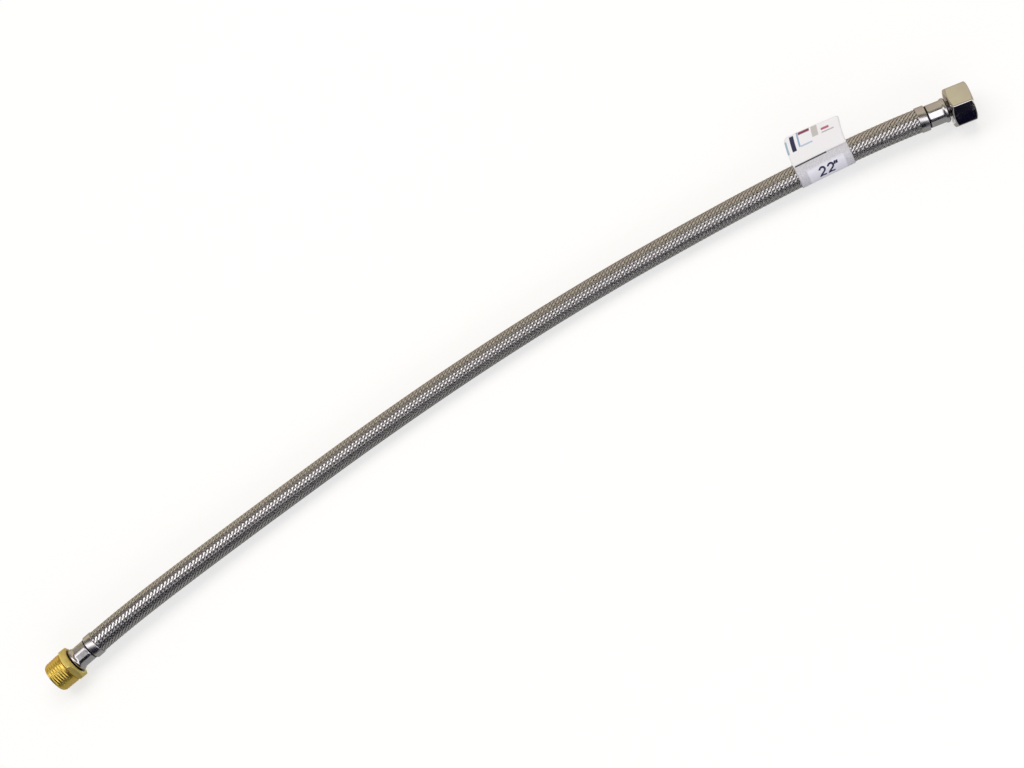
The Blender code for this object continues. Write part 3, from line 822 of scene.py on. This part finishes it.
def ferrule(name, frame, turn):
    """Ferrule with eight pressed flats between its groove and its bead.

    In the crimp the radius is held to flat / cos(angle from the flat's middle), and the
    flats fade out at both of its ends. The outline before and after the crimp is rounded
    in two parts, and the points that only close each part are dropped.
    """
    groove_end = BAND_LENGTH + GROOVE_LENGTH
    crimp_end = FERRULE_LENGTH - BEAD_LENGTH
    bore = NECK_RADIUS + FIT_GAP
    before = rounded([
        (bore, FERRULE_LENGTH),
        (BEAD_RADIUS, FERRULE_LENGTH, BEAD_EDGE),
        (BEAD_RADIUS, crimp_end + BEAD_SHOULDER, BEAD_EDGE),
        (CRIMP_RADIUS, crimp_end),
        (bore, crimp_end),
    ])[:-2]
    crimp_reach = np.linspace(crimp_end - ROW_STEP, groove_end + 2.0 * ROW_STEP, CRIMP_ROWS)
    crimp = np.stack((np.full_like(crimp_reach, CRIMP_RADIUS), crimp_reach), axis=1)
    after = rounded([
        (CRIMP_BORE, FERRULE_LENGTH - FRONT_WALL),
        (CRIMP_RADIUS - BAND_EDGE / 2.0, groove_end),
        (GROOVE_RADIUS, groove_end - ROW_STEP),
        (GROOVE_RADIUS, BAND_LENGTH + ROW_STEP),
        (BAND_RADIUS, BAND_LENGTH, BAND_EDGE),
        (BAND_RADIUS, 0.0, BAND_EDGE),
        (BAND_RADIUS - FERRULE_WALL, 0.0),
        (BAND_RADIUS - FERRULE_WALL, BAND_LENGTH - BAND_TAPER_START),
        (CRIMP_BORE, BAND_LENGTH - BAND_TAPER_END),
        (CRIMP_BORE, FERRULE_LENGTH - FRONT_WALL - ROW_STEP),
        (bore, FERRULE_LENGTH - FRONT_WALL),
    ])[1:]
    angles = even_angles()
    radius, reach = ring_rows(np.concatenate((before, crimp, after)), angles)
    step = 2.0 * math.pi / CRIMP_FLATS
    off = (angles - turn + step / 2.0) % step - step / 2.0
    flat = (CRIMP_RADIUS - CRIMP_FLAT_DEPTH) / np.cos(off)
    pressed = np.minimum(CRIMP_RADIUS, flat)
    rows = slice(len(before), len(before) + len(crimp))
    edge = np.minimum(crimp_reach - groove_end, crimp_end - crimp_reach) / CRIMP_FADE
    hold = smooth_step(np.clip(edge + CRIMP_END_SHARE, 0.0, 1.0))[:, None]
    radius[rows] = CRIMP_RADIUS + (pressed[None, :] - CRIMP_RADIUS) * hold
    return turned_object(name, frame, angles, radius, reach)


def male_fitting(frame):
    """Brass fitting: a tapered pipe thread cut as a helix, a hexagon collar and a neck.

    The thread's radius is the taper less the depth times a wave of reach / pitch less
    the share of a turn, and the chamfer's cone cuts the first crests away.
    """
    angles = hexagon_angles()
    collar_end = COLLAR_START + COLLAR_LENGTH
    rows = int(THREAD_LENGTH / THREAD_PITCH * ROWS_PER_PITCH)
    ends = MALE_REACH - ROW_STEP, collar_end + THREAD_RUN_OUT
    reach, phase = thread_rows(*ends, rows, THREAD_PITCH, angles)
    crest = THREAD_RADIUS - (reach - collar_end) * THREAD_TAPER
    fade = smooth_step(np.clip((reach - collar_end - THREAD_RELIEF) / THREAD_PITCH, 0.0, 1.0))
    root = crest - THREAD_DEPTH * (thread_wave(phase) * fade + 1.0 - fade)
    cone_slope = THREAD_CHAMFER / THREAD_CHAMFER_LENGTH
    tip = THREAD_RADIUS - THREAD_LENGTH * THREAD_TAPER - THREAD_CHAMFER
    cone = tip + (MALE_REACH - reach) * cone_slope
    threaded = np.minimum(root, cone), reach
    bore_end = MALE_REACH - MOUTH_BORE_DEPTH
    inside = [
        (MOUTH_BORE, bore_end),
        (MOUTH_BORE, MALE_REACH - MOUTH_EDGE),
        (MOUTH_BORE + MOUTH_EDGE, MALE_REACH),
        (tip - ROW_STEP, MALE_REACH),
    ]
    neck = [
        (THREAD_RADIUS - THREAD_RELIEF_DEPTH, collar_end + ROW_STEP),
        (THREAD_RADIUS - THREAD_RELIEF_DEPTH, collar_end),
    ]
    collar = hexagon_rows(angles, COLLAR_ACROSS_FLATS, COLLAR_START, collar_end)
    stem = [
        (NECK_RADIUS, COLLAR_START),
        *STEM_OUTLINE,
        (STEM_BORE, bore_end - (MOUTH_BORE - STEM_BORE)),
    ]
    return joined_object("brass_fitting", frame, angles, inside, threaded, neck, collar, stem)


def coupling_nut(frame):
    """Hexagon nut with a helical thread inside its mouth."""
    angles = hexagon_angles()
    socket = NUT_START + NUT_BACK_WALL
    relief_end = socket + NUT_RELIEF_LENGTH
    bore = NECK_RADIUS + FIT_GAP
    back = [
        (bore, NUT_START),
        (bore, socket),
        (NUT_RELIEF_RADIUS, socket),
        (NUT_RELIEF_RADIUS, relief_end),
    ]
    rows = int((NUT_REACH - relief_end) / NUT_THREAD_PITCH * ROWS_PER_PITCH)
    ends = relief_end + 3.0 * ROW_STEP, NUT_REACH - 2.0 * ROW_STEP
    reach, phase = thread_rows(*ends, rows, NUT_THREAD_PITCH, angles)
    cut = NUT_THREAD_BORE + NUT_THREAD_DEPTH * thread_wave(phase)
    cone = NUT_THREAD_BORE + NUT_MOUTH_CHAMFER - (NUT_REACH - reach)
    threaded = np.maximum(cut, cone), reach
    mouth = [(NUT_THREAD_BORE + NUT_MOUTH_CHAMFER, NUT_REACH)]
    outside = hexagon_rows(angles, NUT_ACROSS_FLATS, NUT_START, NUT_REACH)
    return joined_object("plated_nut", frame, angles, outside, back, threaded, mouth)


def swivel_tail(frame):
    """Neck through the nut and the flange that holds the washer."""
    face = FLANGE_START + FLANGE_LENGTH
    outline = rounded([
        (NECK_BORE, face),
        (FLANGE_RADIUS, face, FLANGE_EDGE),
        (FLANGE_RADIUS, FLANGE_START, FLANGE_EDGE),
        (NECK_RADIUS, FLANGE_START),
        *STEM_OUTLINE,
        (STEM_BORE, HOSE_SEAT),
        (NECK_BORE, FERRULE_LENGTH),
    ])
    return joined_object("tail_insert", frame, even_angles(), outline)


def nut_washer(frame):
    """Flat rubber ring with slightly rounded edges."""
    front = WASHER_START + WASHER_LENGTH
    outline = rounded([
        (WASHER_BORE, front, WASHER_EDGE),
        (WASHER_RADIUS, front, WASHER_EDGE),
        (WASHER_RADIUS, WASHER_START, WASHER_EDGE),
        (WASHER_BORE, WASHER_START, WASHER_EDGE),
    ])
    return joined_object("seal_ring", frame, even_angles(), outline)


def label_path():
    """Section of the folded sheet as offsets to the side and up, from tip round to tip.

    The upper ply runs in along the flag to the crease, goes the long way round the
    hose and comes back out along the flag's underside.
    """
    root = np.array([math.cos(FLAG_ROOT), math.sin(FLAG_ROOT)]) * LABEL_RADIUS
    direction = np.array([math.cos(FLAG_ANGLE), math.sin(FLAG_ANGLE)])
    normal = np.array([-direction[1], direction[0]])
    out = np.linspace(1.0, 0.0, FLAG_ROWS)
    curl = FLAG_CURL * out**2
    flag = root + np.outer(out * FLAG_LENGTH, direction)
    upper = flag + np.outer(curl + FLAG_PLY_GAP / 2.0, normal)
    lower = flag + np.outer(curl - FLAG_PLY_GAP / 2.0, normal)
    sweep = FLAG_ROOT + np.linspace(CREASE_ANGLE, 2.0 * math.pi - CREASE_ANGLE, LOOP_ROWS)
    loop = np.stack((np.cos(sweep), np.sin(sweep)), axis=1) * LABEL_RADIUS
    reach = np.concatenate((out, np.zeros(LOOP_ROWS), out[::-1]))
    return np.concatenate((upper, loop, lower[::-1])), reach, direction


def size_label(route, middle):
    """Folded label: its section carried along the hose, with rounded corners at the tips.

    Near a tip the half width is the corner's circle, half - corner + sqrt(corner^2 -
    (corner - distance)^2). The flag leans along the hose by FLAG_SHEAR times the square
    of its reach, and is longer at its rear side. U runs along the hose and V along the
    sheet from tip to tip.
    """
    section, reach, direction = label_path()
    steps = np.linalg.norm(np.diff(section, axis=0), axis=1)
    run = np.concatenate(([0.0], np.cumsum(steps)))
    total = run[-1]
    from_tip = np.minimum(run, total - run)
    inset = np.clip(FLAG_CORNER - from_tip, 0.0, FLAG_CORNER)
    half = LABEL_WIDTH / 2.0 - FLAG_CORNER + np.sqrt(FLAG_CORNER**2 - inset**2)
    share = np.linspace(-1.0, 1.0, LABEL_COLUMNS)
    straight = share[None, :] * half[:, None]
    along = middle + straight + FLAG_SHEAR * reach[:, None] ** 2
    skew = -FLAG_SKEW * FLAG_LENGTH * reach[:, None] * share[None, :]
    offset = section[:, None, :] + skew[:, :, None] * direction
    centre, _, side, up = route.frames(along)
    points = centre + offset[:, :, :1] * side + offset[:, :, 1:] * up
    grid_u = (straight / LABEL_WIDTH + 0.5).reshape(-1)
    grid = np.stack((grid_u, np.repeat(run / total, LABEL_COLUMNS)), axis=1)
    item = mesh_object("printed_label", points.reshape(-1, 3), grid_faces(*along.shape), grid)
    wall = item.modifiers.new("Sheet", "SOLIDIFY")
    wall.thickness = LABEL_THICKNESS
    wall.offset = 0.0
    return item


def digit_two(start):
    """Pen's way through a handwritten two: an arc over the top, a slope and a foot.

    The arc is a circle of 0.46 of the digit's width, from 165 degrees down to -42.
    """
    turn = np.radians(np.linspace(165.0, -42.0, 14))
    bow = MARK_WIDTH * 0.46
    arc = np.stack((bow * (1.0 + np.cos(turn)), MARK_HEIGHT - bow + bow * np.sin(turn)), axis=1)
    foot = np.array([(0.0, 0.0), (MARK_WIDTH * 0.5, MARK_HEIGHT * 0.05), (MARK_WIDTH * 1.15, 0.0)])
    share = np.linspace(0.25, 1.0, 4)[:, None]
    slope = arc[-1] + (foot[0] - arc[-1]) * share
    return np.concatenate((arc, slope, foot[1:])) + np.array([start, 0.0])


def size_mark(route, middle):
    """Handwritten length: each stroke is a ribbon of the pen's width laid on the label.

    A point of a stroke at (u, v) lies at middle + u along the hose and at an angle of
    MARK_ANGLE - v / radius. The ribbon's edges stand off the stroke by half the pen's
    width, square to its direction.
    """
    tick = np.stack((np.zeros(5), np.linspace(1.05, 0.72, 5) * MARK_HEIGHT), axis=1)
    first_tick = MARK_START + 1.85 * MARK_STEP
    strokes = [
        digit_two(MARK_START),
        digit_two(MARK_START + MARK_STEP),
        tick + np.array([first_tick, 0.0]),
        tick + np.array([first_tick + TICK_GAP, 0.0]),
    ]
    radius = LABEL_RADIUS + LABEL_THICKNESS / 2.0 + PEN_LIFT
    points = []
    faces = []
    count = 0
    for stroke in strokes:
        slope = np.gradient(stroke, axis=0)
        slope /= np.linalg.norm(slope, axis=1)[:, None]
        edge = np.stack((-slope[:, 1], slope[:, 0]), axis=1) * PEN_WIDTH / 2.0
        ribbon = np.stack((stroke + edge, stroke - edge), axis=1)
        along = middle + ribbon[:, :, 0] + MARK_SLANT * ribbon[:, :, 1]
        angle = MARK_ANGLE - (ribbon[:, :, 1] - MARK_HEIGHT / 2.0) / radius
        points.append(route.place(along, angle, np.full_like(angle, radius)).reshape(-1, 3))
        faces.append(grid_faces(len(stroke), 2) + count)
        count += 2 * len(stroke)
    item = mesh_object("size_mark", np.concatenate(points), np.concatenate(faces)[:, ::-1])
    ink = item.modifiers.new("Ink", "SOLIDIFY")
    ink.thickness = INK_THICKNESS
    ink.offset = 0.0
    return item


def ink_material():
    """Dark blue marker ink, thinner in places."""
    material, tree, shader = shader_material("marker_ink", (0.02, 0.02, 0.07), 0.0, 0.4)
    ink = (0.012, 0.012, 0.05), (0.05, 0.05, 0.13)
    add_cloud(tree, shader, (900.0, 3.0), ink, (0.3, 0.5))
    return material


def label_material():
    """Fields of colour printed on the flag, painted shade at its crease, a pale writing panel on
    the loop.
    """
    material, tree, shader = shader_material("label_print", (0.86, 0.86, 0.88), 0.0, 0.35)
    across, along = uv_parts(tree)
    cloud = noise_node(tree, 1400.0, 3.0)
    lavender = mix_colour(tree, cloud, (0.40, 0.39, 0.46), (0.84, 0.84, 0.88))
    white = (0.88, 0.87, 0.90)
    loop = field_mask(tree, across, along, LOOP_FIELD, 0.004)
    colour = mix_colour(tree, loop, white, lavender)
    panel = field_mask(tree, across, along, WRITING_PANEL, 0.012)
    colour = mix_colour(tree, panel, colour, (0.82, 0.82, 0.92))
    # Print, and painted shade along the crease at the flag's root.
    for field, tint in PRINT_AND_CREASE_SHADE_FIELDS:
        colour = mix_colour(tree, field_mask(tree, across, along, field, 0.003), colour, tint)
    tree.links.new(colour, shader.inputs["Base Color"])
    add_bump(tree, shader, noise_node(tree, 300.0, 2.0), 0.00008, 0.4)
    return material


def background_rays(tree):
    """1 for the rays that show a background: camera, glossy and transmission rays."""
    path = tree.nodes.new("ShaderNodeLightPath")
    seen = math_node(tree, "MAXIMUM", path.outputs["Is Camera Ray"], path.outputs["Is Glossy Ray"])
    return math_node(tree, "MAXIMUM", seen, path.outputs["Is Transmission Ray"])


def glow_material(name, colour, roughness, glow):
    """Surface without specular reflection that gives off a colour of its own, at strength 1 unless
    reset.
    """
    material, tree, shader = shader_material(name, colour, 0.0, roughness)
    shader.inputs["Specular IOR Level"].default_value = 0.0
    shader.inputs["Emission Color"].default_value = (*glow, 1.0)
    shader.inputs["Emission Strength"].default_value = 1.0
    return material, tree, shader


def studio(route):
    """Pale floor, soft light, and a tent and cards that only reflections see."""
    bpy.ops.mesh.primitive_plane_add(size=FLOOR_SIZE, location=(0.0, 0.0, 0.0))
    floor = bpy.context.object
    floor.name = "floor"
    material, tree, shader = glow_material("floor_paint", (0.42, 0.42, 0.42), 0.9, (1.0, 1.0, 1.0))
    glow = math_node(tree, "MULTIPLY", background_rays(tree), FLOOR_GLOW)
    tree.links.new(glow, shader.inputs["Emission Strength"])
    floor.data.materials.append(material)
    world = bpy.data.worlds.new("studio")
    bpy.context.scene.world = world
    world.use_nodes = True
    sky = world.node_tree
    back = sky.nodes["Background"]
    back.inputs["Color"].default_value = (1.0, 0.98, 0.95, 1.0)
    strength = math_node(sky, "MULTIPLY_ADD", background_rays(sky), SKY_SEEN - SKY_LIGHT, SKY_LIGHT)
    sky.links.new(strength, back.inputs["Strength"])
    soft_box("key_box", 68.0, distance=1.1, size=(1.6, 0.7), power=7.0, colour=(1.0, 0.95, 0.88))
    soft_box("fill_box", 160.0, distance=0.9, size=(1.6, 0.5), power=3.5, colour=(0.95, 0.96, 1.0))
    light_tent()
    reflection_card("outer_card", route, near=0.004, far=1.5, colour=(0.48, 0.40, 0.33))
    reflection_card("near_card", route, near=-0.004, far=-0.045, colour=(0.34, 0.34, 0.34))
    reflection_card("far_card", route, near=-0.045, far=-1.5, colour=(0.004, 0.004, 0.016))


def soft_box(name, degrees, distance, size, power, colour):
    """Area lamp over the hose's length, at an angle from level on the outer side."""
    lamp = bpy.data.lights.new(name, "AREA")
    lamp.shape = "RECTANGLE"
    lamp.size, lamp.size_y = size
    lamp.energy = power
    lamp.color = colour
    item = bpy.data.objects.new(name, lamp)
    bpy.context.scene.collection.objects.link(item)
    angle = math.radians(degrees)
    item.location = (0.0, math.cos(angle) * distance, math.sin(angle) * distance)
    item.rotation_euler = (angle - math.pi / 2.0, 0.0, 0.0)
    item.visible_camera = False
    item.visible_glossy = False


def reflection_only(item):
    """Stage piece that only glossy rays see."""
    item.visible_camera = False
    item.visible_diffuse = False
    item.visible_transmission = False
    item.visible_shadow = False
    item.data.materials[0].cycles.emission_sampling = "NONE"


def light_tent():
    """Dome over the hose with a bright band across it, a warm side and a dark one.

    A point at a lean and an angle is the radius times (sin lean, cos lean * cos angle,
    cos lean * sin angle). U is the lean and V the angle, each from 0 to 1, and the bands
    run slanted, at V less TENT_SLANT * (U - a half).
    """
    lean = np.linspace(-0.5, 0.5, TENT_ROWS) * math.pi
    angle = np.linspace(0.0, 1.0, TENT_COLUMNS) * math.pi
    lean, angle = np.meshgrid(lean, angle, indexing="ij")
    level = np.cos(lean)
    way = np.stack((np.sin(lean), level * np.cos(angle), level * np.sin(angle)), axis=-1)
    grid = np.stack((lean / math.pi + 0.5, angle / math.pi), axis=-1).reshape(-1, 2)
    points = TENT_RADIUS * way.reshape(-1, 3)
    item = mesh_object("light_tent", points, grid_faces(*lean.shape), grid)
    black = (0.0, 0.0, 0.0)
    material, tree, shader = glow_material("tent_cloth", black, 1.0, black)
    across, along = uv_parts(tree)
    slant = math_node(tree, "MULTIPLY_ADD", across, -TENT_SLANT, TENT_SLANT / 2.0)
    ramp = tree.nodes.new("ShaderNodeValToRGB")
    tree.links.new(math_node(tree, "ADD", along, slant), ramp.inputs[0])
    bands = ramp.color_ramp.elements
    bands[0].position = 0.0
    bands[1].position = 1.0
    for degrees, _ in TENT_BANDS[1:-1]:
        bands.new(degrees / 180.0)
    for band, (_, tint) in zip(bands, TENT_BANDS):
        band.color = (tint[0] / TENT_LEVEL, tint[1] / TENT_LEVEL, tint[2] / TENT_LEVEL, 1.0)
    tree.links.new(ramp.outputs[0], shader.inputs["Emission Color"])
    shader.inputs["Emission Strength"].default_value = TENT_LEVEL
    item.data.materials.append(material)
    reflection_only(item)


def reflection_card(name, route, near, far, colour):
    """Card on the floor that follows the hose from one distance to its side to another."""
    along = np.linspace(-CARD_OVERHANG, FREE_LENGTH + CARD_OVERHANG, CORD_POINTS)
    centre, _, side, _ = route.frames(along)
    points = centre[:, None, :] + side[:, None, :] * np.array([near, far])[None, :, None]
    points[:, :, 2] = CARD_HEIGHT
    item = mesh_object(name, points.reshape(-1, 3), grid_faces(len(along), 2))
    item.data.materials.append(glow_material(name, (0.0, 0.0, 0.0), 1.0, colour)[0])
    reflection_only(item)


def camera():
    """Camera looking down on the hose, tilted so that it runs from corner to corner."""
    back = np.array([
        math.sin(CAMERA_AZIMUTH) * math.cos(CAMERA_ELEVATION),
        -math.cos(CAMERA_AZIMUTH) * math.cos(CAMERA_ELEVATION),
        math.sin(CAMERA_ELEVATION),
    ])
    level = np.cross(-back, (0.0, 0.0, 1.0))
    level /= np.linalg.norm(level)
    upright = np.cross(level, -back)
    right = level * math.cos(CAMERA_ROLL) + upright * math.sin(CAMERA_ROLL)
    up = upright * math.cos(CAMERA_ROLL) - level * math.sin(CAMERA_ROLL)
    place = np.array(CAMERA_AIM) + back * CAMERA_DISTANCE
    data = bpy.data.cameras.new("camera")
    data.lens = CAMERA_LENS
    data.sensor_width = 36.0
    data.clip_start = 0.01
    item = bpy.data.objects.new("camera", data)
    bpy.context.scene.collection.objects.link(item)
    matrix = np.eye(4)
    matrix[:3] = np.stack((right, up, back, place), axis=1)
    item.matrix_world = Matrix(matrix.tolist())
    return item


def dress(item, material, slot, body, *nodes):
    """Give a new piece its material, its body and the nodes it replaces. The slot is not used."""
    item.data.materials.append(material)
    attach(item, body)
    if nodes:
        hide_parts(*nodes)


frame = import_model()
route = Route(frame["joints"][0]["pos_m"])
male_frame = EndFrame(route, 0.0, -1.0)
nut_frame = EndFrame(route, FREE_LENGTH, 1.0)

scene = bpy.context.scene
scene.camera = camera()
scene.view_settings.view_transform = "Standard"

outer_wire = wire_material("braid_wire", 1.0)
# The under strands take a darker copy of the wire material: painted shade.
shaded_under_wire = wire_material("braid_wire_under", UNDER_PAINTED_LIGHT_LEVEL)
right_braid = braid("braid_right_hand", 1.0, INNER_WIDTH, INNER_CROWN, route)
left_braid = braid("braid_left_hand", -1.0, OUTER_WIDTH, OUTER_CROWN, route)
dress(right_braid, shaded_under_wire, "braid_wire", "hose", "braid_sleeve")
dress(left_braid, outer_wire, "braid_wire", "hose", "braid_sleeve")
brass_side = ferrule("ferrule_brass_side", male_frame, MALE_CRIMP_TURN)
nut_side = ferrule("ferrule_nut_side", nut_frame, NUT_CRIMP_TURN)
brass_side_steel = pressed_steel_material("brass_side_steel", male_frame)
nut_side_steel = pressed_steel_material("nut_side_steel", nut_frame)
dress(brass_side, brass_side_steel, "ferrule_steel", "hose", "ferrule_male_end")
dress(nut_side, nut_side_steel, "ferrule_steel", "hose", "ferrule_nut_end")
dress(male_fitting(male_frame), brass_material(male_frame), "fitting_brass", "hose", "male_fitting")
dress(coupling_nut(nut_frame), nickel_material(nut_frame), "nut_plating", "nut", "coupling_nut")
dress(swivel_tail(nut_frame), dark_tail_material(), "tail_brass", "hose", "swivel_tail")
washer_black = rubber_material("washer_rubber", 0.03)
dress(nut_washer(nut_frame), washer_black, "washer_rubber", "hose", "nut_washer")
label_middle = FREE_LENGTH - LABEL_FROM_FERRULE - LABEL_WIDTH / 2.0
dress(size_label(route, label_middle), label_material(), "label_sheet", "hose", "size_label")
dress(size_mark(route, label_middle), ink_material(), "label_sheet", "hose")
liner = frame["nodes"]["inner_tube"]
liner.data.materials.clear()
liner.data.materials.append(rubber_material("liner_rubber", 0.02))

studio(route)
